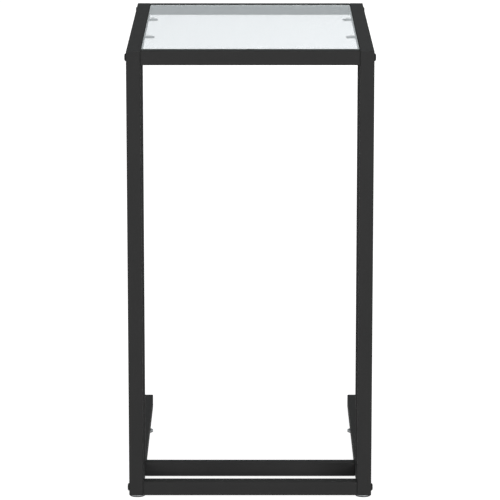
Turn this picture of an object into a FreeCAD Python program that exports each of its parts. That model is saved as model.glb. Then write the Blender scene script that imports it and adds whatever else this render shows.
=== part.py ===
import FreeCAD, Part
import math
import os

# C-shaped side table in millimetres, +Z up, origin on the floor under the middle of the table.
# The closed side of the C faces -Y, the open side faces +Y, and left is -X.
# Two welded side frames of square tube are tied by four crossbars, bolted on from outside.
# A loose glass panel lies flush in the top, and four screw-in feet level the table.
# Threads, bores and drilled holes, which all stay hidden, are prisms with few sides.

V = FreeCAD.Vector
X_AXIS = V(1, 0, 0)
Y_AXIS = V(0, 1, 0)
Z_AXIS = V(0, 0, 1)

# Overall sizes
width = 349.0            # over the side tubes, without the bolt heads
depth = 500.0            # closed front to the ends of the rail caps
height = 650.0           # floor to the top of the glass
post_spacing = 100.0     # front post to inner post, centre to centre

# Square tube
tube = 20.0
wall = 1.2
corner = 1.2             # outer corner radius

# Hidden rounds
round_sides = 12
thread_play = 0.1        # radial, in the tapped pieces

# Crossbar bolts and the threaded inserts that take them
bolt_diameter = 6.0
bolt_length = 32.0       # under the head
bolt_hole_play = 0.25    # radial, in the side tubes
head_diameter = 11.0
head_height = 2.5
head_rim = 0.8           # straight part of the head's edge
head_flat = 6.4          # diameter of the flat round the socket
socket_flats = 4.0       # hexagon socket, across flats
socket_depth = 1.6
insert_length = 16.0
insert_play = 0.1        # round the insert, in the crossbar
insert_lead = 1.0        # chamfer at the inner end

# Plastic caps in the rear ends of the rails
cap_flange = 1.5
cap_stem = 5.0
cap_wall = 1.6
cap_play = 0.15
cap_edge = 0.25          # bevel of the outer edge

# Glass panel, its tabs, pads and edge bumpers
glass_thickness = 5.0
glass_gap = 1.5          # glass edge to crossbar, where the bumpers sit
glass_side_gap = 0.6     # glass edge to side rail
glass_corner = 3.0
glass_arris = 0.7        # ground edge
tab_reach = 15.5
tab_width = 14.0
tab_thickness = 1.5
tab_tip = 4.0            # corner radius at the free end
tab_offset = 90.0        # from the middle of the top, towards front and rear
pad_diameter = 9.0
pad_height = 2.0
bumper_width = 10.0
bumper_height = 8.5      # down from the top of the glass
bumper_play = 0.3        # to the edge of the glass

# Levelling feet and the weld nuts that take them
foot_diameter = 22.0
foot_height = 3.0
foot_inset = 11.5        # front feet, from the outer side and from the front
rear_foot_inset = 13.0   # rear feet, from the outer side
foot_spacing = 350.0     # front foot to rear foot
sole_height = 1.7
stud_diameter = 6.0
stud_clearance = 1.0     # under the crossbar bolt that passes above it
stud_hole_play = 0.3
nut_flats = 10.0
nut_recess = 0.8         # stud end above the nut

overrun = 5.0            # how far cutters reach past what they cut

# Derived places
front = -depth / 2
rear = depth / 2
base = foot_height
bar_length = width - 2 * tube
inner_face = bar_length / 2
tube_axis_x = (width - tube) / 2
rail_length = depth - cap_flange
inner_side = tube - 2 * wall
top_axis_z = height - tube / 2
base_axis_z = base + tube / 2
glass_bottom = height - glass_thickness
tab_top = glass_bottom - pad_height
stud_top = base_axis_z - bolt_diameter / 2 - stud_clearance
nut_bottom = base + wall
nut_height = stud_top - nut_recess - nut_bottom

SIDES = (("left", -1), ("right", 1))
ENDS = (("front", -1), ("rear", 1))

# Where each crossbar runs, as the place of its axis in the YZ plane
CROSSBARS = {
    "top_front": (front + tube / 2, top_axis_z),
    "top_rear": (rear - tube / 2, top_axis_z),
    "base_front": (front + tube / 2, base_axis_z),
    "base_inner": (front + tube / 2 + post_spacing, base_axis_z),
}

nodes = {}


def polar(radius, degrees):
    """Point in the XY plane at a radius and an angle."""
    angle = math.radians(degrees)
    return V(radius * math.cos(angle), radius * math.sin(angle), 0)


def rounded_rectangle(size_x, size_y, radius):
    """Flat face centred on the origin, with four arcs at its corners."""
    flat_x = size_x / 2 - radius
    flat_y = size_y / 2 - radius
    outline = []
    corners = ((1, 1), (-1, 1), (-1, -1), (1, -1))
    for count, (sx, sy) in enumerate(corners):
        centre = V(sx * flat_x, sy * flat_y, 0)
        start = 90.0 * count
        points = [centre + polar(radius, start + turn) for turn in (0, 45, 90)]
        outline.append(Part.Arc(*points))
    edges = []
    for count, arc in enumerate(outline):
        following = outline[(count + 1) % len(outline)]
        edges.append(arc.toShape())
        edges.append(Part.LineSegment(arc.EndPoint, following.StartPoint).toShape())
    return Part.Face(Part.Wire(edges))


def square_bar(side, radius, length):
    """Square bar with rounded edges that stands on the origin."""
    return rounded_rectangle(side, side, radius).extrude(Z_AXIS * length)


def square_block(side, length):
    """Square block with sharp edges that stands on the origin."""
    return Part.makeBox(side, side, length, V(-side / 2, -side / 2, 0))


def square_tube(length):
    """Hollow square tube that stands on the origin."""
    return square_bar(tube, corner, length).cut(square_block(inner_side, length))


def laid(shape, direction, start):
    """Turn a piece made along +Z to a direction and move its foot to a point."""
    placed = shape.copy()
    turn = FreeCAD.Rotation(Z_AXIS, direction)
    placed.Placement = FreeCAD.Placement(start, turn).multiply(placed.Placement)
    return placed


def revolved(points):
    """Solid turned about +Z from a closed outline of (radius, height) points."""
    outline = Part.makePolygon([V(r, 0, z) for r, z in points + points[:1]])
    return Part.Face(outline).revolve(V(0, 0, 0), Z_AXIS, 360)


def prism(sides, radius, length):
    """Upright prism on the origin, with its corners at a radius."""
    points = [polar(radius, 360 * count / sides) for count in range(sides + 1)]
    return Part.Face(Part.makePolygon(points)).extrude(Z_AXIS * length)


def hexagon(flats, length):
    """Hexagonal prism on the origin, sized across its flats."""
    return prism(6, flats / 2 / math.cos(math.radians(30)), length)


def hidden_round(diameter, play, length):
    """Shank, bore or drilled hole that doesn't show, with a radial play."""
    return prism(round_sides, diameter / 2 + play, length)


def edges_at(shape, height_z):
    """Edges of a piece that lie flat at one height."""
    near = overrun / 1000
    return [e for e in shape.Edges
            if abs(e.BoundBox.ZMin - height_z) < near and abs(e.BoundBox.ZMax - height_z) < near]


def mitre_cutter(outer, inner, spare):
    """Prism across both side frames that cuts a corner of the C at its diagonal.

    The points are (y, z): both ends of the diagonal, then the corner that is cut away.
    """
    outer, inner, spare = (V(0, y, z) for y, z in (outer, inner, spare))
    along = (inner - outer).normalize() * overrun
    away = (spare - (outer + inner) / 2).normalize() * overrun
    start = V(-width / 2 - overrun, 0, 0)
    points = [start + p for p in (outer - along, inner + along, spare + away, outer - along)]
    return Part.Face(Part.makePolygon(points)).extrude(X_AXIS * (width + 2 * overrun))


def bolt_holes():
    """Clearance holes for the crossbar bolts, right through both side frames."""
    length = width + 2 * overrun
    hole = hidden_round(bolt_diameter, bolt_hole_play, length)
    return Part.Compound([laid(hole, X_AXIS, V(-length / 2, y, z)) for y, z in CROSSBARS.values()])


def foot_places():
    """Name and floor point of each foot."""
    first = front + foot_inset
    rows = (("front", foot_inset, first), ("rear", rear_foot_inset, first + foot_spacing))
    for side_name, side in SIDES:
        for end_name, inset, y in rows:
            yield f"{side_name}_{end_name}", V(side * (width / 2 - inset), y, 0)


def stud_holes():
    """Holes for the foot studs in the bottom walls of the base rails."""
    hole = hidden_round(stud_diameter, stud_hole_play, foot_height + wall + overrun / 2)
    return Part.Compound([laid(hole, Z_AXIS, point) for _, point in foot_places()])


def make_side_frames():
    """Rails and posts of both side frames, mitred at the two corners of each C."""
    low = (front, base)
    low_inner = (front + tube, base + tube)
    high = (front, height)
    high_inner = (front + tube, height - tube)
    holes = bolt_holes()
    for name, side in SIDES:
        x = side * tube_axis_x

        top_rail = laid(square_tube(rail_length), Y_AXIS, V(x, front, top_axis_z))
        top_rail = top_rail.cut(mitre_cutter(high, high_inner, (front, height - tube)))
        nodes[f"{name}_top_rail"] = top_rail.cut(holes)

        base_rail = laid(square_tube(rail_length), Y_AXIS, V(x, front, base_axis_z))
        base_rail = base_rail.cut(mitre_cutter(low, low_inner, (front, base + tube)))
        nodes[f"{name}_base_rail"] = base_rail.cut(holes).cut(stud_holes())

        post = laid(square_tube(height - base), Z_AXIS, V(x, front + tube / 2, base))
        post = post.cut(mitre_cutter(high, high_inner, (front + tube, height)))
        post = post.cut(mitre_cutter(low, low_inner, (front + tube, base)))
        nodes[f"{name}_front_post"] = post.cut(holes)

        inner_length = height - base - 2 * tube
        inner_start = V(x, front + tube / 2 + post_spacing, base + tube)
        nodes[f"{name}_inner_post"] = laid(square_tube(inner_length), Z_AXIS, inner_start)


def end_cap():
    """Square plug with a bevelled flange above the origin and a hollow stem below it."""
    flange = square_bar(tube, corner, cap_flange)
    flange = flange.makeChamfer(cap_edge, edges_at(flange, cap_flange))
    stem_side = inner_side - 2 * cap_play
    stem = square_block(stem_side, cap_stem).cut(square_block(stem_side - 2 * cap_wall, cap_stem))
    stem.translate(V(0, 0, -cap_stem))
    return flange.fuse(stem)


def make_end_caps():
    """Caps in the rear ends of the four rails."""
    for name, side in SIDES:
        for level, z in (("top", top_axis_z), ("base", base_axis_z)):
            start = V(side * tube_axis_x, rear - cap_flange, z)
            nodes[f"{name}_{level}_rail_cap"] = laid(end_cap(), Y_AXIS, start)


def threaded_insert():
    """Square insert whose open end is at the origin and whose chamfered end points up."""
    body = square_block(inner_side - 2 * insert_play, insert_length)
    body = body.makeChamfer(insert_lead, edges_at(body, insert_length))
    return body.cut(hidden_round(bolt_diameter, thread_play, insert_length))


def button_bolt():
    """Button-head bolt with its head above the origin and its shank below it."""
    rim = head_diameter / 2
    head = revolved([(0, 0), (rim, 0), (rim, head_rim), (head_flat / 2, head_height), (0, head_height)])
    shank = hidden_round(bolt_diameter, 0, bolt_length)
    shank.translate(V(0, 0, -bolt_length))
    socket = hexagon(socket_flats, socket_depth + overrun)
    socket.translate(V(0, 0, head_height - socket_depth))
    return head.fuse(shank).cut(socket)


def make_crossbars():
    """Crossbars between the side frames, each with two inserts and two bolts."""
    for name, (y, z) in CROSSBARS.items():
        nodes[f"{name}_crossbar"] = laid(square_tube(bar_length), X_AXIS, V(-inner_face, y, z))
        inserts = []
        bolts = []
        for _, side in SIDES:
            inserts.append(laid(threaded_insert(), X_AXIS * -side, V(side * inner_face, y, z)))
            bolts.append(laid(button_bolt(), X_AXIS * side, V(side * width / 2, y, z)))
        nodes[f"{name}_inserts"] = Part.Compound(inserts)
        nodes[f"{name}_bolts"] = Part.Compound(bolts)


def make_glass():
    """Loose glass panel, flush with the frame, with ground edges."""
    size_x = bar_length - 2 * glass_side_gap
    size_y = depth - 2 * tube - 2 * glass_gap
    panel = rounded_rectangle(size_x, size_y, glass_corner).extrude(Z_AXIS * glass_thickness)
    ground = edges_at(panel, 0) + edges_at(panel, glass_thickness)
    panel = panel.makeChamfer(glass_arris, ground)
    nodes["glass_top"] = laid(panel, Z_AXIS, V(0, 0, glass_bottom))


def glass_tab(side):
    """Flat tab welded to a side rail at the origin's plane, rounded at its free end."""
    plate = Part.makeBox(tab_reach, tab_width, tab_thickness, V(-tab_reach, -tab_width / 2, 0))
    free_end = [e for e in plate.Edges if e.BoundBox.XMax < -tab_reach / 2]
    tip = [e for e in free_end if e.BoundBox.ZLength > tab_thickness / 2]
    plate = plate.makeFillet(tab_tip, tip)
    if side < 0:
        plate.rotate(V(0, 0, 0), Z_AXIS, 180)
    return plate


def make_glass_supports():
    """Tabs with clear pads under the glass, and bumpers at the middle of its short edges."""
    pad = Part.makeCylinder(pad_diameter / 2, pad_height)
    for name, side in SIDES:
        for end_name, end in ENDS:
            root = V(side * inner_face, end * tab_offset, tab_top - tab_thickness)
            nodes[f"{name}_{end_name}_glass_tab"] = laid(glass_tab(side), Z_AXIS, root)
            middle = V(side * (inner_face - tab_reach / 2), end * tab_offset, tab_top)
            nodes[f"{name}_{end_name}_glass_pad"] = laid(pad, Z_AXIS, middle)
    thickness = glass_gap - bumper_play
    corner_point = V(-bumper_width / 2, -thickness / 2, height - bumper_height)
    bumper = Part.makeBox(bumper_width, thickness, bumper_height, corner_point)
    for end_name, end in ENDS:
        middle = V(0, end * (depth / 2 - tube - thickness / 2), 0)
        nodes[f"{end_name}_glass_bumper"] = laid(bumper, Z_AXIS, middle)


def make_feet():
    """Feet of a steel shell with a stud and a sole, each in a weld nut inside its base rail.

    The nuts have two flats along the rail, which keeps them clear of its walls.
    """
    radius = foot_diameter / 2
    sole = Part.makeCylinder(radius, sole_height)
    shell = Part.makeCylinder(radius, foot_height - sole_height, V(0, 0, sole_height))
    stud = hidden_round(stud_diameter, 0, stud_top - foot_height)
    stud.translate(V(0, 0, foot_height))
    screw = shell.fuse(stud)
    nut = hexagon(nut_flats, nut_height).cut(hidden_round(stud_diameter, thread_play, nut_height))
    nut.rotate(V(0, 0, 0), Z_AXIS, 30)
    nut.translate(V(0, 0, nut_bottom))
    nuts = []
    for name, point in foot_places():
        nodes[f"{name}_foot_sole"] = laid(sole, Z_AXIS, point)
        nodes[f"{name}_foot_screw"] = laid(screw, Z_AXIS, point)
        nuts.append(laid(nut, Z_AXIS, point))
    nodes["foot_weld_nuts"] = Part.Compound(nuts)


make_side_frames()
make_end_caps()
make_crossbars()
make_glass()
make_glass_supports()
make_feet()

os.makedirs("parts", exist_ok=True)
for node, shape in nodes.items():
    shape.exportStep(f"parts/{node}.step")
    print(node, len(shape.Solids), shape.isValid(), round(shape.Volume, 1))
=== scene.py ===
"""C-shaped side table: finishes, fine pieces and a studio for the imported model."""

import math

import bmesh
import bpy
from mathutils import Matrix, Vector


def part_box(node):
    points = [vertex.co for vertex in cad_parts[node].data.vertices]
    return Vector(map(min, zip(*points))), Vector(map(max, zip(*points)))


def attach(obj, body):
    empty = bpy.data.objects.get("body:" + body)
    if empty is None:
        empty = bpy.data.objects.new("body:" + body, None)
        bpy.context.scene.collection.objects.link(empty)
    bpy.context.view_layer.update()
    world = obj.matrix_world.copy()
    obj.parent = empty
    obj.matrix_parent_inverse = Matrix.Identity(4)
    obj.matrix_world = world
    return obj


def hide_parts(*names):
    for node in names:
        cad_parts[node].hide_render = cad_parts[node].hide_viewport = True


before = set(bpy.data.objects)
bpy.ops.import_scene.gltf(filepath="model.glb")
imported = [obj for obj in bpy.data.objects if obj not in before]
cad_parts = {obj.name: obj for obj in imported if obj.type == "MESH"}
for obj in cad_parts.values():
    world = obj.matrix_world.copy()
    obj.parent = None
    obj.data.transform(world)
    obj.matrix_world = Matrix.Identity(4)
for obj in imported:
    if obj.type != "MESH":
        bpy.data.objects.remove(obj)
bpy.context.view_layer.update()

bl_info = {
    "name": "C-shaped side table",
    "version": (1, 0, 0),
    "blender": (4, 5, 0),
    "location": "3D View > Sidebar > Side table",
    "description": "Finishes a knock-down steel and glass side table and sets a white studio round it",
    "category": "Object",
}

SIDES = {"left": -1, "right": 1}
ENDS = ("front", "rear")
CORNERS = [f"{side}_{end}" for side in SIDES for end in ENDS]
BARS = ("top_front", "top_rear", "base_front", "base_inner")
MM = 0.001

# Points closer than this are joined into one.
SAME_POINT = 0.001 * MM
# Edges that turn by more than the first angle are bevelled, and by more than the second look hard.
BEVEL_ANGLE = math.radians(50)
HARD_ANGLE = math.radians(40)
# Profiles of a bevel: a round edge and a sunk step.
ROUND = 0.5
SUNK = 0.1
# Depth of a thread as a share of its pitch.
THREAD_DEPTH = 0.6
# Length of a bolt under its head, and of the part of it that has no thread.
BOLT_LENGTH = 32 * MM
PLAIN_SHANK = 12 * MM
# Depth of the dish round the stud of a foot.
HUB_DISH = 0.2 * MM


def linear(code):
    """Turn an sRGB hex colour into linear RGBA."""
    channels = [int(code[i:i + 2], 16) / 255 for i in (1, 3, 5)]
    return [c / 12.92 if c <= 0.04045 else ((c + 0.055) / 1.055) ** 2.4 for c in channels] + [1.0]


def colour(code, name, description):
    """A colour that the user can change, given as hex."""
    return bpy.props.FloatVectorProperty(name=name, description=description, subtype="COLOR", size=4,
                                         min=0, max=1, default=linear(code))


def length(millimetres, name, description):
    """A length that the user can change, given in millimetres."""
    return bpy.props.FloatProperty(name=name, description=description, subtype="DISTANCE", unit="LENGTH",
                                   precision=5, min=0, default=millimetres * MM)


def power(watts, name, description):
    """A lamp's power that the user can change, given in watts."""
    return bpy.props.FloatProperty(name=name, description=description, subtype="POWER", unit="POWER",
                                   min=0, default=watts)


def share(part, name, description):
    """A share between none and all that the user can change."""
    return bpy.props.FloatProperty(name=name, description=description, subtype="FACTOR",
                                   min=0, max=1, default=part)


class TableFinishes(bpy.types.PropertyGroup):
    """Colours of the table's finishes."""

    coat: colour("#323232", "Powder coat", "Matt black coat of the tubes and tabs")
    bolt: colour("#121313", "Bolts", "Black oxide on the bolts")
    zinc: colour("#9A9D9F", "Zinc", "Zinc plating on the feet and the hidden hardware")
    cap: colour("#2B2B2B", "End caps", "Moulded plastic of the tube caps")
    glass: colour("#FBFDFF", "Glass", "Tint of the clear glass through its thickness")
    ground_edge: colour("#E3EEEA", "Glass edge", "Tint of the ground edge, seen along the sheet")
    silicone: colour("#F6F9F9", "Pads", "Clear silicone under the glass")
    rubber: colour("#2B2D2D", "Bumpers", "Rubber that centres the glass")
    nylon: colour("#1F2020", "Soles", "Nylon under the feet")


class TableSizes(bpy.types.PropertyGroup):
    """Sizes of the fine pieces."""

    edge_round: length(0.4, "Edge rounding", "Rounding of the tabs, and half of it on the caps and bumpers")
    butt_step: length(1.3, "Butt step", "Step at the crossbar ends that shows as a fine dark joint")
    weld_leg: length(2.6, "Weld leg", "Width of a weld bead on each of its two faces")
    weld_ripple: length(1.7, "Weld ripple", "Distance between the ripples of a bead")
    weld_inset: length(2.4, "Weld inset", "Distance from a tube's outer face to the end of a bead")
    tab_weld_inset: length(1.0, "Tab weld inset", "Distance from a tab's side to the end of its bead")
    thread_pitch: length(1.0, "Thread pitch", "Pitch of the M6 bolts and studs")
    thread_crest: length(5.9, "Thread diameter", "Diameter over the thread's crests")
    head_rim: length(0.55, "Head rim", "Height of a bolt head's edge, from which its dome springs")
    socket_flats: length(4.0, "Hex socket", "Width across the flats of the bolts' sockets")
    socket_depth: length(1.6, "Socket depth", "Depth of the bolts' sockets")
    pad_round: length(0.9, "Pad rounding", "Rounding of the silicone pads")
    shell_roll: length(0.5, "Shell rounding", "Rounding of the feet's pressed steel shells")
    shell_hem: length(0.8, "Shell hem", "Width of the shell's edge on the sole")
    hub_radius: length(4.2, "Hub radius", "Radius of the dish round the stud, in the top of the shell")
    sole_hollow: length(6.5, "Sole hollow", "Radius of the hollow under the sole")
    sole_lift: length(0.35, "Sole lift", "Depth of the hollow under the sole")


class TableStudio(bpy.types.PropertyGroup):
    """Camera, floor and lamps."""

    camera_place: bpy.props.FloatVectorProperty(
        name="Camera place", description="Where the camera stands", subtype="TRANSLATION", unit="LENGTH",
        default=(0, -4.7718, 1.3318))
    camera_tilt: bpy.props.FloatProperty(
        name="Camera tilt", description="How far the camera looks down", subtype="ANGLE", unit="ROTATION",
        default=math.radians(12.067))
    camera_lens: bpy.props.FloatProperty(
        name="Lens", description="Focal length on a 36 mm sensor", unit="CAMERA", default=234.51)
    camera_shift: bpy.props.FloatProperty(
        name="Camera shift", description="Sideways shift of the lens, as a share of the picture",
        precision=5, default=-0.00044)
    floor_size: bpy.props.FloatProperty(
        name="Floor size", description="Side of the square floor", subtype="DISTANCE", unit="LENGTH",
        default=16)
    floor: colour("#B8B8B8", "Floor", "Matt colour of the floor, which shows in the table's shadow")
    floor_glow: share(0.9, "Floor glow", "Share of white that the floor always shows to the camera")
    glass_glow: share(0.86, "Glow under glass", "Share of white that the floor always shows through glass")
    key_power: power(120, "Key power", "Large softbox on the left")
    front_power: power(48, "Front power", "Softbox on the right")
    fill_power: power(110, "Fill power", "Wide softbox behind the camera")
    back_power: power(30, "Back power", "High softbox behind the table")
    rear_power: power(10.5, "Rear power", "Softbox that lights only the floor behind the table")
    room: colour("#7C7C7C", "Room light", "Even light from the white room on matt surfaces")
    mirrored: colour("#CBD1D3", "Mirrored room", "What gloss and glass mirror of the room")


def add_node(tree, kind, links=None, values=None, **settings):
    """Add a node with its settings, its socket values and its links from earlier sockets."""
    node = tree.nodes.new(kind)
    for key, value in settings.items():
        setattr(node, key, value)
    for key, value in (values or {}).items():
        node.inputs[key].default_value = value
    for key, socket in (links or {}).items():
        tree.links.new(socket, node.inputs[key])
    return node


def blank_material(name):
    """An empty material with its node tree and the object coordinates in metres."""
    material = bpy.data.materials.new(name)
    material.use_nodes = True
    tree = material.node_tree
    tree.nodes.clear()
    place = add_node(tree, "ShaderNodeTexCoord").outputs["Object"]
    return material, tree, place


def shaded(low, high, way):
    """The colour that lies that part of the way from one colour to another."""
    return [a + (b - a) * way for a, b in zip(low, high)]


BLACK = (0.0, 0.0, 0.0, 1.0)
WHITE = (1.0, 1.0, 1.0, 1.0)


def powder_coat(colours):
    """Matt black polyester powder, sprayed on steel and baked."""
    # An even dark grey with no sharp mirror image: the melted powder leaves a soft orange peel of
    # about 1.5 mm, drawn at 4 mm so that it shows, and the film's depth drifts over some 60 mm.
    material, tree, place = blank_material("matt_black_powder_coat")
    drift = add_node(tree, "ShaderNodeTexNoise", {"Vector": place}, {"Scale": 1 / (60 * MM), "Detail": 2.0})
    tone = add_node(tree, "ShaderNodeMix", {"Factor": drift.outputs["Fac"]}, data_type="RGBA")
    tone.inputs["A"].default_value = shaded(BLACK, colours.coat, 0.94)
    tone.inputs["B"].default_value = shaded(colours.coat, WHITE, 0.002)
    peel = add_node(tree, "ShaderNodeTexNoise", {"Vector": place}, {"Scale": 1 / (4 * MM), "Detail": 1.0})
    matt = add_node(tree, "ShaderNodeMapRange", {"Value": peel.outputs["Fac"]},
                    {"To Min": 0.72, "To Max": 0.84})
    relief = add_node(tree, "ShaderNodeBump", {"Height": peel.outputs["Fac"]},
                      {"Strength": 0.25, "Distance": 0.05 * MM})
    surface = add_node(tree, "ShaderNodeBsdfPrincipled",
                       {"Base Color": tone.outputs["Result"], "Roughness": matt.outputs["Result"],
                        "Normal": relief.outputs["Normal"]},
                       {"IOR": 1.5, "Specular IOR Level": 0.045})
    add_node(tree, "ShaderNodeOutputMaterial", {"Surface": surface.outputs["BSDF"]})
    return material


def black_oxide(colours):
    """Steel bolt, hot blackened and oiled."""
    # A thin dark skin over metal: deep black with a tight oily highlight and faint turning marks
    # 0.4 mm apart, drawn at 0.8 mm.
    material, tree, place = blank_material("black_oxide_steel")
    stain = add_node(tree, "ShaderNodeTexNoise", {"Vector": place}, {"Scale": 1 / (3 * MM), "Detail": 3.0})
    tone = add_node(tree, "ShaderNodeMix", {"Factor": stain.outputs["Fac"]}, data_type="RGBA")
    tone.inputs["A"].default_value = shaded(BLACK, colours.bolt, 0.8)
    tone.inputs["B"].default_value = shaded(colours.bolt, WHITE, 0.01)
    oil = add_node(tree, "ShaderNodeMapRange", {"Value": stain.outputs["Fac"]},
                   {"To Min": 0.30, "To Max": 0.48})
    marks = add_node(tree, "ShaderNodeTexNoise", {"Vector": place}, {"Scale": 1 / (0.8 * MM)})
    relief = add_node(tree, "ShaderNodeBump", {"Height": marks.outputs["Fac"]},
                      {"Strength": 0.15, "Distance": 0.02 * MM})
    surface = add_node(tree, "ShaderNodeBsdfPrincipled",
                       {"Base Color": tone.outputs["Result"], "Roughness": oil.outputs["Result"],
                        "Normal": relief.outputs["Normal"]},
                       {"IOR": 1.5, "Specular IOR Level": 0.12})
    add_node(tree, "ShaderNodeOutputMaterial", {"Surface": surface.outputs["BSDF"]})
    return material


def zinc_plate(colours):
    """Steel, zinc plated in a barrel and passivated clear."""
    # A pale, slightly blue metal: soft reflections broken by a cloudy passivate of about 5 mm and by
    # tumbling scuffs of about 0.5 mm, drawn at 1 mm.
    material, tree, place = blank_material("bright_zinc_plated_steel")
    cloud = add_node(tree, "ShaderNodeTexNoise", {"Vector": place}, {"Scale": 1 / (5 * MM), "Detail": 4.0})
    tone = add_node(tree, "ShaderNodeMix", {"Factor": cloud.outputs["Fac"]}, data_type="RGBA")
    tone.inputs["A"].default_value = shaded(BLACK, colours.zinc, 0.8)
    tone.inputs["B"].default_value = shaded(colours.zinc, WHITE, 0.15)
    haze = add_node(tree, "ShaderNodeMapRange", {"Value": cloud.outputs["Fac"]},
                    {"To Min": 0.28, "To Max": 0.5})
    scuffs = add_node(tree, "ShaderNodeTexNoise", {"Vector": place}, {"Scale": 1 / (1 * MM), "Detail": 2.0})
    relief = add_node(tree, "ShaderNodeBump", {"Height": scuffs.outputs["Fac"]},
                      {"Strength": 0.2, "Distance": 0.02 * MM})
    surface = add_node(tree, "ShaderNodeBsdfPrincipled",
                       {"Base Color": tone.outputs["Result"], "Roughness": haze.outputs["Result"],
                        "Normal": relief.outputs["Normal"]},
                       {"Metallic": 1.0})
    add_node(tree, "ShaderNodeOutputMaterial", {"Surface": surface.outputs["BSDF"]})
    return material


def moulded_plastic(colours):
    """Polyethylene cap, moulded in a spark-eroded tool."""
    # A waxy black, a little glossier than the coat, with the tool's fine grain of about 0.3 mm,
    # drawn at 1 mm.
    material, tree, place = blank_material("moulded_black_polyethylene")
    grain = add_node(tree, "ShaderNodeTexVoronoi", {"Vector": place}, {"Scale": 1 / (1 * MM)})
    flow = add_node(tree, "ShaderNodeTexNoise", {"Vector": place}, {"Scale": 1 / (12 * MM), "Detail": 1.0})
    tone = add_node(tree, "ShaderNodeMix", {"Factor": flow.outputs["Fac"]}, data_type="RGBA")
    tone.inputs["A"].default_value = shaded(BLACK, colours.cap, 0.85)
    tone.inputs["B"].default_value = shaded(colours.cap, WHITE, 0.006)
    waxy = add_node(tree, "ShaderNodeMapRange", {"Value": flow.outputs["Fac"]},
                    {"To Min": 0.42, "To Max": 0.55})
    relief = add_node(tree, "ShaderNodeBump", {"Height": grain.outputs["Distance"]},
                      {"Strength": 0.2, "Distance": 0.03 * MM})
    surface = add_node(tree, "ShaderNodeBsdfPrincipled",
                       {"Base Color": tone.outputs["Result"], "Roughness": waxy.outputs["Result"],
                        "Normal": relief.outputs["Normal"]},
                       {"IOR": 1.51, "Specular IOR Level": 0.35})
    add_node(tree, "ShaderNodeOutputMaterial", {"Surface": surface.outputs["BSDF"]})
    return material


def float_glass(colours):
    """Soda-lime float glass, toughened."""
    # Clear and mirror smooth: at a low angle it mirrors half of the room and lays a pale veil over what
    # is under it. Toughening leaves a roller wave of about 0.02 mm every 150 mm.
    material, tree, place = blank_material("clear_toughened_float_glass")
    wave = add_node(tree, "ShaderNodeTexNoise", {"Vector": place}, {"Scale": 1 / (150 * MM), "Detail": 0.0})
    relief = add_node(tree, "ShaderNodeBump", {"Height": wave.outputs["Fac"]},
                      {"Strength": 0.08, "Distance": 0.02 * MM})
    surface = add_node(tree, "ShaderNodeBsdfPrincipled", {"Normal": relief.outputs["Normal"]},
                       {"Base Color": colours.glass, "Roughness": 0.0, "IOR": 1.52,
                        "Transmission Weight": 1.0})
    add_node(tree, "ShaderNodeOutputMaterial", {"Surface": surface.outputs["BSDF"]})
    return material


def ground_glass(colours):
    """The glass sheet's edge, ground flat with its corners taken off."""
    # Frosted and faintly green, because the eye looks along the sheet there. The wheel's lines run along
    # the edge 0.2 mm apart, drawn at 1 mm.
    material, tree, place = blank_material("ground_glass_edge")
    stretch = (0.005, 0.005, 1.0)
    along = add_node(tree, "ShaderNodeVectorMath", {0: place}, {1: stretch}, operation="MULTIPLY")
    lines = add_node(tree, "ShaderNodeTexNoise", {"Vector": along.outputs[0]},
                     {"Scale": 1 / (1 * MM), "Detail": 2.0})
    frost = add_node(tree, "ShaderNodeMapRange", {"Value": lines.outputs["Fac"]},
                     {"To Min": 0.36, "To Max": 0.44})
    relief = add_node(tree, "ShaderNodeBump", {"Height": lines.outputs["Fac"]},
                      {"Strength": 0.1, "Distance": 0.02 * MM})
    surface = add_node(tree, "ShaderNodeBsdfPrincipled",
                       {"Roughness": frost.outputs["Result"], "Normal": relief.outputs["Normal"]},
                       {"Base Color": colours.ground_edge, "IOR": 1.52, "Transmission Weight": 0.7})
    add_node(tree, "ShaderNodeOutputMaterial", {"Surface": surface.outputs["BSDF"]})
    return material


def clear_silicone(colours):
    """Cast clear silicone, slightly tacky."""
    # Watery clear with a soft skin, clouded over about 2 mm. Pressed against the glass it loses most of
    # its outline, which a low alpha gives.
    material, tree, place = blank_material("cast_clear_silicone")
    cloud = add_node(tree, "ShaderNodeTexNoise", {"Vector": place}, {"Scale": 1 / (2 * MM), "Detail": 2.0})
    skin = add_node(tree, "ShaderNodeMapRange", {"Value": cloud.outputs["Fac"]},
                    {"To Min": 0.02, "To Max": 0.06})
    surface = add_node(tree, "ShaderNodeBsdfPrincipled", {"Roughness": skin.outputs["Result"]},
                       {"Base Color": colours.silicone, "IOR": 1.41, "Specular IOR Level": 0.1,
                        "Transmission Weight": 1.0, "Alpha": 0.1})
    add_node(tree, "ShaderNodeOutputMaterial", {"Surface": surface.outputs["BSDF"]})
    return material


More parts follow.
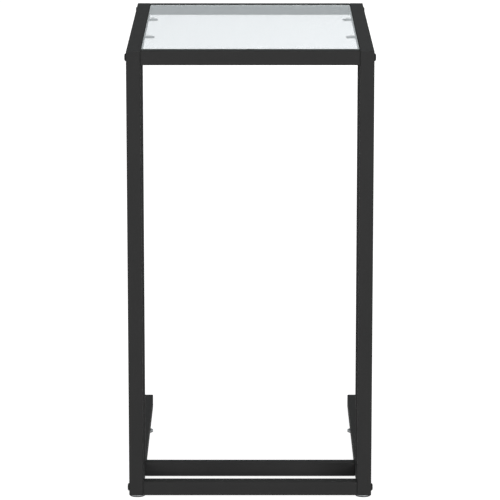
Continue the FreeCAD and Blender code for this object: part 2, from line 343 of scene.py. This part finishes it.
def black_rubber(colours):
    """Pressed black rubber."""
    # Dull and charcoal, greyed by a bloom of about 4 mm, with a skin grain of 0.5 mm.
    material, tree, place = blank_material("pressed_black_rubber")
    bloom = add_node(tree, "ShaderNodeTexNoise", {"Vector": place}, {"Scale": 1 / (4 * MM), "Detail": 3.0})
    tone = add_node(tree, "ShaderNodeMix", {"Factor": bloom.outputs["Fac"]}, data_type="RGBA")
    tone.inputs["A"].default_value = shaded(BLACK, colours.rubber, 0.85)
    tone.inputs["B"].default_value = shaded(colours.rubber, WHITE, 0.02)
    grain = add_node(tree, "ShaderNodeTexNoise", {"Vector": place}, {"Scale": 1 / (0.5 * MM)})
    dull = add_node(tree, "ShaderNodeMapRange", {"Value": grain.outputs["Fac"]},
                    {"To Min": 0.75, "To Max": 0.9})
    relief = add_node(tree, "ShaderNodeBump", {"Height": grain.outputs["Fac"]},
                      {"Strength": 0.3, "Distance": 0.03 * MM})
    surface = add_node(tree, "ShaderNodeBsdfPrincipled",
                       {"Base Color": tone.outputs["Result"], "Roughness": dull.outputs["Result"],
                        "Normal": relief.outputs["Normal"]},
                       {"IOR": 1.52, "Specular IOR Level": 0.3})
    add_node(tree, "ShaderNodeOutputMaterial", {"Surface": surface.outputs["BSDF"]})
    return material


def grey_nylon(colours):
    """Injection moulded nylon."""
    # A dark grey, nearly black plastic with a satin sheen, paler where it scuffs on the floor in patches of
    # about 2 mm.
    material, tree, place = blank_material("moulded_grey_nylon")
    scuff = add_node(tree, "ShaderNodeTexNoise", {"Vector": place}, {"Scale": 1 / (2 * MM), "Detail": 4.0})
    tone = add_node(tree, "ShaderNodeMix", {"Factor": scuff.outputs["Fac"]}, data_type="RGBA")
    tone.inputs["A"].default_value = shaded(BLACK, colours.nylon, 0.8)
    tone.inputs["B"].default_value = shaded(colours.nylon, WHITE, 0.04)
    satin = add_node(tree, "ShaderNodeMapRange", {"Value": scuff.outputs["Fac"]},
                     {"To Min": 0.4, "To Max": 0.6})
    relief = add_node(tree, "ShaderNodeBump", {"Height": scuff.outputs["Fac"]},
                      {"Strength": 0.2, "Distance": 0.02 * MM})
    surface = add_node(tree, "ShaderNodeBsdfPrincipled",
                       {"Base Color": tone.outputs["Result"], "Roughness": satin.outputs["Result"],
                        "Normal": relief.outputs["Normal"]},
                       {"IOR": 1.53, "Specular IOR Level": 0.4})
    add_node(tree, "ShaderNodeOutputMaterial", {"Surface": surface.outputs["BSDF"]})
    return material


MAKERS = {
    "matt_black_powder_coat": powder_coat,
    "black_oxide_steel": black_oxide,
    "bright_zinc_plated_steel": zinc_plate,
    "moulded_black_polyethylene": moulded_plastic,
    "clear_toughened_float_glass": float_glass,
    "ground_glass_edge": ground_glass,
    "cast_clear_silicone": clear_silicone,
    "pressed_black_rubber": black_rubber,
    "moulded_grey_nylon": grey_nylon,
}


def finish(context, name):
    """The finish of that name, made when it is first used."""
    return bpy.data.materials.get(name) or MAKERS[name](context.scene.table_finishes)


def dress(node, material):
    """Give a CAD node its finish."""
    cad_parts[node].material_slots[0].material = material


def soften(node, width, profile=ROUND):
    """Bevel the cut edges of a CAD node."""
    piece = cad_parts[node]
    weld = piece.modifiers.new("join_faces", "WELD")
    weld.merge_threshold = SAME_POINT
    bevel = piece.modifiers.new("soft_edges", "BEVEL")
    bevel.width = width
    bevel.segments = 3
    bevel.profile = profile
    bevel.limit_method = "ANGLE"
    bevel.angle_limit = BEVEL_ANGLE
    piece.modifiers.new("even_shading", "WEIGHTED_NORMAL")


def add_piece(name, shape, material, body, replaced=()):
    """Turn a bmesh into a piece that rides on a body."""
    bmesh.ops.recalc_face_normals(shape, faces=shape.faces)
    mesh = bpy.data.meshes.new(name)
    shape.to_mesh(mesh)
    shape.free()
    mesh.shade_smooth()
    mesh.set_sharp_from_angle(angle=HARD_ANGLE)
    mesh.materials.append(material)
    piece = bpy.data.objects.new(name, mesh)
    bpy.context.scene.collection.objects.link(piece)
    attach(piece, body)
    if replaced:
        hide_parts(*replaced)


def skin(shape, loops):
    """Skin a row of loops with equal counts of points, and close both ends."""
    for low, high in zip(loops, loops[1:]):
        for i in range(len(low)):
            shape.faces.new((low[i - 1], low[i], high[i], high[i - 1]))
    shape.faces.new(loops[0])
    shape.faces.new(loops[-1])


def turned(shape, rings, place, sides=48):
    """Skin rings of radius and height about the Z axis of a place. A ring marked hex has six flats."""
    loops = []
    for radius, height, *mark in rings:
        loop = []
        for i in range(sides):
            angle = 2 * math.pi * i / sides
            reach = radius
            if "hex" in mark:
                reach = radius / math.cos(angle % (math.pi / 3) - math.pi / 6)
            point = Vector((reach * math.cos(angle), reach * math.sin(angle), height))
            loop.append(shape.verts.new(place @ point))
        loops.append(loop)
    skin(shape, loops)


def quarter_round(radius, height, inward, upward, steps):
    """Rings that curve in and up from a rim of that radius and height."""
    turns = [math.pi / 2 * step / steps for step in range(steps + 1)]
    return [(radius - inward + inward * math.cos(turn), height + upward * math.sin(turn)) for turn in turns]


def threaded(shape, sizes, low, high, place, sides=24):
    """A screw thread between two heights on the Z axis of a place, run out at both ends."""
    pitch = sizes.thread_pitch
    crest = sizes.thread_crest / 2
    root = crest - THREAD_DEPTH * pitch
    flanks = (root, root, crest, crest)
    steps = len(flanks)
    # Two spare turns: the helix starts a turn early, and its ends are cut flat.
    rows = math.ceil((high - low) / pitch + 2) * steps
    grid = []
    for i in range(sides):
        angle = 2 * math.pi * i / sides
        column = []
        for j in range(rows):
            height = low + pitch * (j / steps + i / sides - 1)
            reach = flanks[j % steps]
            if height <= low or height >= high:
                reach = root
                height = min(max(height, low), high)
            point = Vector((reach * math.cos(angle), reach * math.sin(angle), height))
            column.append(shape.verts.new(place @ point))
        grid.append(column)
    faces = []
    for i in range(sides):
        for j in range(rows - 1):
            near = grid[i]
            far = grid[(i + 1) % sides]
            turn = steps if i == sides - 1 else 0
            if j + 1 + turn < rows:
                faces.append(shape.faces.new((near[j], far[j + turn], far[j + 1 + turn], near[j + 1])))
    corners = {v for face in faces for v in face.verts}
    loose = [v for column in grid for v in column if v not in corners]
    bmesh.ops.delete(shape, geom=loose, context="VERTS")
    bmesh.ops.remove_doubles(shape, verts=list(corners), dist=SAME_POINT)
    rim = [edge for edge in shape.edges if edge.is_boundary]
    bmesh.ops.holes_fill(shape, edges=rim)


def beaded(shape, sizes, start, end, face_a, face_b):
    """A rippled weld bead in the corner of two faces that look along face_a and face_b."""
    # Shares of the full leg: at the neck of a ripple, at the tips, and lost where the face is flattened.
    neck = 0.88
    tip = 0.55
    flattened = 0.18
    # The leg grows from the tips by this many times the share of the bead's length.
    growth = 6
    root = -0.15 * MM * (face_a + face_b)
    crest_lag = 0.3 * sizes.weld_ripple
    fewest_ripples = 4
    steps_per_ripple = 4
    steps_across = 6
    run = end - start
    ripples = max(fewest_ripples, round(run.length / sizes.weld_ripple))
    steps = ripples * steps_per_ripple
    loops = []
    for k in range(steps + 1):
        along = k / steps
        swell = neck + (1 - neck) * abs(math.sin(math.pi * ripples * along))
        leg = sizes.weld_leg * swell * min(1.0, tip + growth * min(along, 1 - along))
        middle = start + run * along
        loop = [shape.verts.new(middle + root)]
        for q in range(steps_across + 1):
            turn = math.pi / 2 * q / steps_across
            bulge = math.sin(2 * turn)
            lag = Vector() if k in (0, steps) else -crest_lag * bulge * run.normalized()
            out = face_a * math.cos(turn) + face_b * math.sin(turn)
            loop.append(shape.verts.new(middle + lag + leg * (1 - flattened * bulge) * out))
        loops.append(loop)
    skin(shape, loops)


class SIDE_TABLE_OT_coat_frame(bpy.types.Operator):
    """Coat the tubes, crossbars and tabs, and soften their cut edges"""

    bl_idname = "side_table.coat_frame"
    bl_label = "Coat the frame"

    def execute(self, context):
        coat = finish(context, "matt_black_powder_coat")
        sizes = context.scene.table_sizes
        for side in SIDES:
            for tube in ("top_rail", "base_rail", "front_post", "inner_post"):
                dress(f"{side}_{tube}", coat)
        for corner in CORNERS:
            dress(f"{corner}_glass_tab", coat)
            soften(f"{corner}_glass_tab", sizes.edge_round)
        for bar in BARS:
            dress(f"{bar}_crossbar", coat)
            soften(f"{bar}_crossbar", sizes.butt_step, SUNK)
        return {"FINISHED"}


class SIDE_TABLE_OT_weld_frame(bpy.types.Operator):
    """Lay weld beads in the inside corners of the side frames and under the tabs"""

    bl_idname = "side_table.weld_frame"
    bl_label = "Weld the frame"

    def execute(self, context):
        coat = finish(context, "matt_black_powder_coat")
        sizes = context.scene.table_sizes
        for side, outward in SIDES.items():
            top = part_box(f"{side}_top_rail")[0].z
            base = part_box(f"{side}_base_rail")[1].z
            lo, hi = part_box(f"{side}_inner_post")
            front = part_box(f"{side}_front_post")[0].y + (hi.y - lo.y)
            left = lo.x + sizes.weld_inset
            right = hi.x - sizes.weld_inset
            inner = hi.x if side == "left" else lo.x
            beads = bmesh.new()
            for y, way in ((front, 1), (lo.y, -1), (hi.y, 1)):
                for z, lift in ((base, 1), (top, -1)):
                    beaded(beads, sizes, Vector((left, y, z)), Vector((right, y, z)),
                           Vector((0, way, 0)), Vector((0, 0, lift)))
            for end in ENDS:
                tab_lo, tab_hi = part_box(f"{side}_{end}_glass_tab")
                near = Vector((inner, tab_lo.y + sizes.tab_weld_inset, tab_lo.z))
                far = Vector((inner, tab_hi.y - sizes.tab_weld_inset, tab_lo.z))
                beaded(beads, sizes, near, far, Vector((-outward, 0, 0)), Vector((0, 0, -1)))
            add_piece(f"{side}_weld_beads", beads, coat, "frame")
        return {"FINISHED"}


class SIDE_TABLE_OT_cap_tubes(bpy.types.Operator):
    """Give the open tube ends their moulded caps"""

    bl_idname = "side_table.cap_tubes"
    bl_label = "Cap the tubes"

    def execute(self, context):
        plastic = finish(context, "moulded_black_polyethylene")
        for side in SIDES:
            for rail in ("top_rail", "base_rail"):
                dress(f"{side}_{rail}_cap", plastic)
                soften(f"{side}_{rail}_cap", context.scene.table_sizes.edge_round / 2)
        return {"FINISHED"}


class SIDE_TABLE_OT_fit_bolts(bpy.types.Operator):
    """Fit button-head bolts with hex sockets through the side frames into the crossbars"""

    bl_idname = "side_table.fit_bolts"
    bl_label = "Fit the bolts"

    def execute(self, context):
        steel = finish(context, "black_oxide_steel")
        sizes = context.scene.table_sizes
        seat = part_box("right_top_rail")[1].x
        shank = sizes.thread_crest / 2
        for bar in BARS:
            lo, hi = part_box(f"{bar}_bolts")
            middle = (lo + hi) / 2
            head = self.button_head(sizes, (hi.y - lo.y) / 2, hi.x - seat)
            bolts = bmesh.new()
            for side in SIDES.values():
                outward = Matrix.Rotation(side * math.pi / 2, 4, "Y")
                place = Matrix.Translation((side * seat, middle.y, middle.z)) @ outward
                turned(bolts, head, place)
                turned(bolts, [(shank, -PLAIN_SHANK), (shank, 0)], place, sides=24)
                threaded(bolts, sizes, -BOLT_LENGTH, -PLAIN_SHANK, place, sides=18)
            add_piece(f"{bar}_button_bolts", bolts, steel, "frame", [f"{bar}_bolts"])
        return {"FINISHED"}

    def button_head(self, sizes, radius, rise):
        """Rings of a button head, from its seat over the dome and down into its hex socket."""
        seat_inset = 0.25 * MM
        seat_edge = 0.2 * MM
        lip = 0.35 * MM
        mouth_width = 0.12 * MM
        mouth_drop = 0.02 * MM
        mouth_depth = 0.25 * MM
        bottom_edge = 0.2 * MM
        bottom_share = 0.9
        drill_radius = 0.3 * MM
        drill_depth = 0.1 * MM
        rim = sizes.head_rim
        socket = sizes.socket_flats / 2
        crown = socket / math.cos(math.pi / 6) + lip
        bottom = rise - sizes.socket_depth
        dome = quarter_round(radius, rim, radius - crown, rise - rim, steps=8)
        hollow = [(socket + mouth_width, rise - mouth_drop, "hex"), (socket, rise - mouth_depth, "hex"),
                  (socket, bottom + bottom_edge, "hex"), (socket * bottom_share, bottom, "hex"),
                  (drill_radius, bottom - drill_depth)]
        return [(radius - seat_inset, 0), (radius, seat_edge)] + dome + hollow


class SIDE_TABLE_OT_plate_hardware(bpy.types.Operator):
    """Zinc plate the hidden inserts and weld nuts"""

    bl_idname = "side_table.plate_hardware"
    bl_label = "Plate the inserts and nuts"

    def execute(self, context):
        zinc = finish(context, "bright_zinc_plated_steel")
        for bar in BARS:
            dress(f"{bar}_inserts", zinc)
        dress("foot_weld_nuts", zinc)
        return {"FINISHED"}


class SIDE_TABLE_OT_lay_glass(bpy.types.Operator):
    """Lay the glass: polished faces and a ground edge"""

    bl_idname = "side_table.lay_glass"
    bl_label = "Lay the glass"

    def execute(self, context):
        dress("glass_top", finish(context, "clear_toughened_float_glass"))
        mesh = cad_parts["glass_top"].data
        mesh.materials.append(finish(context, "ground_glass_edge"))
        level = 0.9
        for face in mesh.polygons:
            face.material_index = 0 if abs(face.normal.z) > level else 1
        return {"FINISHED"}


class SIDE_TABLE_OT_seat_pads(bpy.types.Operator):
    """Seat the silicone pads on the tabs and the rubber bumpers at the glass edge"""

    bl_idname = "side_table.seat_pads"
    bl_label = "Seat the pads"

    def execute(self, context):
        silicone = finish(context, "cast_clear_silicone")
        sizes = context.scene.table_sizes
        bend = sizes.pad_round
        seat_inset = 0.15 * MM
        seat_edge = 0.2 * MM
        for corner in CORNERS:
            node = f"{corner}_glass_pad"
            lo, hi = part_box(node)
            radius = (hi.x - lo.x) / 2
            tall = hi.z - lo.z
            centre = radius / 10
            rings = [(radius - seat_inset, 0), (radius, seat_edge)]
            rings += quarter_round(radius, tall - bend, bend, bend, steps=6)
            rings.append((centre, tall))
            pad = bmesh.new()
            turned(pad, rings, Matrix.Translation(((lo.x + hi.x) / 2, (lo.y + hi.y) / 2, lo.z)))
            add_piece(f"{corner}_silicone_pad", pad, silicone, "frame", [node])
        for end in ENDS:
            dress(f"{end}_glass_bumper", finish(context, "pressed_black_rubber"))
            soften(f"{end}_glass_bumper", sizes.edge_round / 2)
        return {"FINISHED"}


class SIDE_TABLE_OT_screw_feet(bpy.types.Operator):
    """Screw in the levelling feet: pressed shell, threaded stud and nylon sole"""

    bl_idname = "side_table.screw_feet"
    bl_label = "Screw in the feet"

    def execute(self, context):
        zinc = finish(context, "bright_zinc_plated_steel")
        nylon = finish(context, "moulded_grey_nylon")
        sizes = context.scene.table_sizes
        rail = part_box("left_base_rail")[0].z
        for corner in CORNERS:
            foot = f"{corner}_foot"
            lo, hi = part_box(f"{foot}_screw")
            place = Matrix.Translation(((lo.x + hi.x) / 2, (lo.y + hi.y) / 2, 0))
            screw = bmesh.new()
            turned(screw, self.shell(sizes, (hi.x - lo.x) / 2, lo.z, rail), place)
            threaded(screw, sizes, rail - HUB_DISH, hi.z, place)
            add_piece(f"{foot}_shell_and_stud", screw, zinc, foot, [f"{foot}_screw"])
            lo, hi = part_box(f"{foot}_sole")
            sole = bmesh.new()
            turned(sole, self.sole(sizes, (hi.x - lo.x) / 2, hi.z), place)
            add_piece(f"{foot}_moulded_sole", sole, nylon, foot, [f"{foot}_sole"])
        return {"FINISHED"}

    def shell(self, sizes, radius, low, high):
        """Rings of a pressed shell, from its hem over the rolled edge to the dish round the stud."""
        hem_inset = 0.1 * MM
        hem_edge = 0.15 * MM
        dish_slope = 0.3 * MM
        core = 2 * MM
        roll = sizes.shell_roll
        hub = sizes.hub_radius
        dish = high - HUB_DISH
        hem = [(radius - sizes.shell_hem, low), (radius - hem_inset, low), (radius, low + hem_edge)]
        top = [(hub, high), (hub - dish_slope, dish), (core, dish)]
        return hem + quarter_round(radius, high - roll, roll, roll, steps=5) + top

    def sole(self, sizes, radius, high):
        """Rings of a moulded sole, from the hollow under it over its rounded edge to its top."""
        slope = 0.5 * MM
        edge = 0.45 * MM
        edge_middle = 0.12 * MM
        top_edge = 0.15 * MM
        low_core = 1 * MM
        high_core = 2 * MM
        lift = sizes.sole_lift
        hollow = sizes.sole_hollow
        under = [(low_core, lift), (hollow - slope, lift), (hollow, 0)]
        side = [(radius - edge, 0), (radius - edge_middle, edge_middle), (radius, edge)]
        top = [(radius, high - top_edge), (radius - top_edge, high), (high_core, high)]
        return under + side + top


# Softboxes: place, target, width and height in metres, spread in degrees, and whether gloss and glass
# show them.
TABLE = (0.0, 0.0, 0.35)
FLOOR_BEHIND = (0.9, 4.3, 0.0)
SOFTBOXES = {
    "key": ((-4.7, -2.6, 1.7), TABLE, 3.0, 3.0, 180, True),
    "front": ((1.4, -3.3, 1.1), TABLE, 1.5, 1.2, 180, True),
    # The fill is so wide that the glass, seen from the back, would mirror nothing else.
    "fill": ((0.5, -6.0, 1.4), TABLE, 4.0, 1.5, 180, False),
    "back": ((0.6, 2.2, 2.9), TABLE, 1.6, 1.6, 180, True),
    "rear": ((0.9, 4.3, 2.0), FLOOR_BEHIND, 1.6, 1.6, 100, True),
}


class SIDE_TABLE_OT_set_stage(bpy.types.Operator):
    """Set the white floor, the soft lamps and the camera"""

    bl_idname = "side_table.set_stage"
    bl_label = "Set the stage"

    def execute(self, context):
        scene = context.scene
        studio = scene.table_studio
        scene.view_settings.view_transform = "Standard"
        self.lay_floor(scene, studio)
        self.light_room(scene, studio)
        self.hang_lamps(scene, studio)
        sight = bpy.data.cameras.new("photo_camera")
        sight.sensor_width = 36
        sight.lens = studio.camera_lens
        sight.shift_x = studio.camera_shift
        sight.clip_end = 100
        camera = bpy.data.objects.new("photo_camera", sight)
        camera.location = studio.camera_place
        camera.rotation_euler = (math.pi / 2 - studio.camera_tilt, 0, 0)
        scene.collection.objects.link(camera)
        scene.camera = camera
        return {"FINISHED"}

    def lay_floor(self, scene, studio):
        """A matt white sweep that stays white to the camera but keeps a soft contact shadow."""
        material, tree, _ = blank_material("white_studio_floor")
        rays = add_node(tree, "ShaderNodeLightPath").outputs
        glow = add_node(tree, "ShaderNodeMath", {0: rays["Is Camera Ray"]}, {1: studio.floor_glow},
                        operation="MULTIPLY")
        through = add_node(tree, "ShaderNodeMath", {0: rays["Is Transmission Ray"]}, {1: studio.glass_glow},
                           operation="MULTIPLY")
        glow = add_node(tree, "ShaderNodeMath", {0: glow.outputs[0], 1: through.outputs[0]},
                        operation="MAXIMUM")
        glow = add_node(tree, "ShaderNodeMath", {0: glow.outputs[0], 1: rays["Is Glossy Ray"]},
                        operation="MAXIMUM")
        matt = add_node(tree, "ShaderNodeBsdfDiffuse", values={"Color": studio.floor})
        white = add_node(tree, "ShaderNodeEmission", {"Strength": glow.outputs[0]})
        top = add_node(tree, "ShaderNodeAddShader", {0: matt.outputs["BSDF"], 1: white.outputs["Emission"]})
        back = add_node(tree, "ShaderNodeNewGeometry").outputs["Backfacing"]
        clear = add_node(tree, "ShaderNodeBsdfTransparent")
        both = add_node(tree, "ShaderNodeMixShader",
                        {0: back, 1: top.outputs["Shader"], 2: clear.outputs["BSDF"]})
        add_node(tree, "ShaderNodeOutputMaterial", {"Surface": both.outputs["Shader"]})
        half = studio.floor_size / 2
        mesh = bpy.data.meshes.new("studio_floor")
        mesh.from_pydata([(-half, -half, 0), (half, -half, 0), (half, half, 0), (-half, half, 0)], [],
                         [(0, 1, 2, 3)])
        mesh.materials.append(material)
        floor = bpy.data.objects.new("studio_floor", mesh)
        scene.collection.objects.link(floor)

    def light_room(self, scene, studio):
        """White to the camera and through glass, pale grey in reflections, an even fill on matt faces."""
        world = bpy.data.worlds.new("white_room")
        world.use_nodes = True
        tree = world.node_tree
        tree.nodes.clear()
        rays = add_node(tree, "ShaderNodeLightPath").outputs
        # A depth below a half means that the ray has not bounced that way yet.
        first = add_node(tree, "ShaderNodeMath", {0: rays["Diffuse Depth"]}, {1: 0.5},
                         operation="LESS_THAN")
        straight = add_node(tree, "ShaderNodeMath", {0: rays["Glossy Depth"]}, {1: 0.5},
                            operation="LESS_THAN")
        gloss = add_node(tree, "ShaderNodeMath", {0: rays["Is Glossy Ray"], 1: rays["Is Transmission Ray"]},
                         operation="MAXIMUM")
        gloss = add_node(tree, "ShaderNodeMath", {0: gloss.outputs[0], 1: first.outputs[0]},
                         operation="MULTIPLY")
        plain = add_node(tree, "ShaderNodeMath", {0: rays["Is Camera Ray"], 1: rays["Is Transmission Ray"]},
                         operation="MAXIMUM")
        plain = add_node(tree, "ShaderNodeMath", {0: plain.outputs[0], 1: first.outputs[0]},
                         operation="MULTIPLY")
        plain = add_node(tree, "ShaderNodeMath", {0: plain.outputs[0], 1: straight.outputs[0]},
                         operation="MULTIPLY")
        mirrored = add_node(tree, "ShaderNodeMix", {"Factor": gloss.outputs[0]}, data_type="RGBA")
        mirrored.inputs["A"].default_value = studio.room
        mirrored.inputs["B"].default_value = studio.mirrored
        shown = add_node(tree, "ShaderNodeMix",
                         {"Factor": plain.outputs[0], "A": mirrored.outputs["Result"]}, data_type="RGBA")
        shown.inputs["B"].default_value = WHITE
        sky = add_node(tree, "ShaderNodeBackground", {"Color": shown.outputs["Result"]}, {"Strength": 1.0})
        add_node(tree, "ShaderNodeOutputWorld", {"Surface": sky.outputs["Background"]})
        scene.world = world

    def hang_lamps(self, scene, studio):
        """Softboxes on the left, on the right, behind the camera, high behind, and for the floor behind."""
        for name, (place, target, wide, tall, spread, shown) in SOFTBOXES.items():
            lamp = bpy.data.lights.new(f"{name}_softbox", "AREA")
            lamp.shape = "RECTANGLE"
            lamp.size = wide
            lamp.size_y = tall
            lamp.spread = math.radians(spread)
            lamp.energy = getattr(studio, f"{name}_power")
            softbox = bpy.data.objects.new(f"{name}_softbox", lamp)
            softbox.visible_glossy = shown
            softbox.visible_transmission = shown
            softbox.location = place
            aim = Vector(target) - Vector(place)
            softbox.rotation_euler = aim.to_track_quat("-Z", "Y").to_euler()
            scene.collection.objects.link(softbox)


class SIDE_TABLE_PT_sidebar(bpy.types.Panel):
    """Steps and settings of the side table"""

    bl_idname = "SIDE_TABLE_PT_sidebar"
    bl_label = "Side table"
    bl_space_type = "VIEW_3D"
    bl_region_type = "UI"
    bl_category = "Side table"

    def draw(self, context):
        scene = context.scene
        for step in STEPS:
            self.layout.operator(step.bl_idname)
        for group in (scene.table_finishes, scene.table_sizes, scene.table_studio):
            box = self.layout.box()
            for key in group.__annotations__:
                box.prop(group, key)


STEPS = (
    SIDE_TABLE_OT_coat_frame,
    SIDE_TABLE_OT_weld_frame,
    SIDE_TABLE_OT_cap_tubes,
    SIDE_TABLE_OT_fit_bolts,
    SIDE_TABLE_OT_plate_hardware,
    SIDE_TABLE_OT_lay_glass,
    SIDE_TABLE_OT_seat_pads,
    SIDE_TABLE_OT_screw_feet,
    SIDE_TABLE_OT_set_stage,
)
CLASSES = (TableFinishes, TableSizes, TableStudio) + STEPS + (SIDE_TABLE_PT_sidebar,)


def register():
    """Register the classes and hang the settings on the scene."""
    for kind in CLASSES:
        bpy.utils.register_class(kind)
    bpy.types.Scene.table_finishes = bpy.props.PointerProperty(type=TableFinishes)
    bpy.types.Scene.table_sizes = bpy.props.PointerProperty(type=TableSizes)
    bpy.types.Scene.table_studio = bpy.props.PointerProperty(type=TableStudio)


def unregister():
    """Take the settings and classes away again."""
    del bpy.types.Scene.table_studio
    del bpy.types.Scene.table_sizes
    del bpy.types.Scene.table_finishes
    for kind in reversed(CLASSES):
        bpy.utils.unregister_class(kind)


def main():
    """Run every step."""
    register()
    bpy.ops.side_table.coat_frame()
    bpy.ops.side_table.weld_frame()
    bpy.ops.side_table.cap_tubes()
    bpy.ops.side_table.fit_bolts()
    bpy.ops.side_table.plate_hardware()
    bpy.ops.side_table.lay_glass()
    bpy.ops.side_table.seat_pads()
    bpy.ops.side_table.screw_feet()
    bpy.ops.side_table.set_stage()


if __name__ == "__main__":
    main()
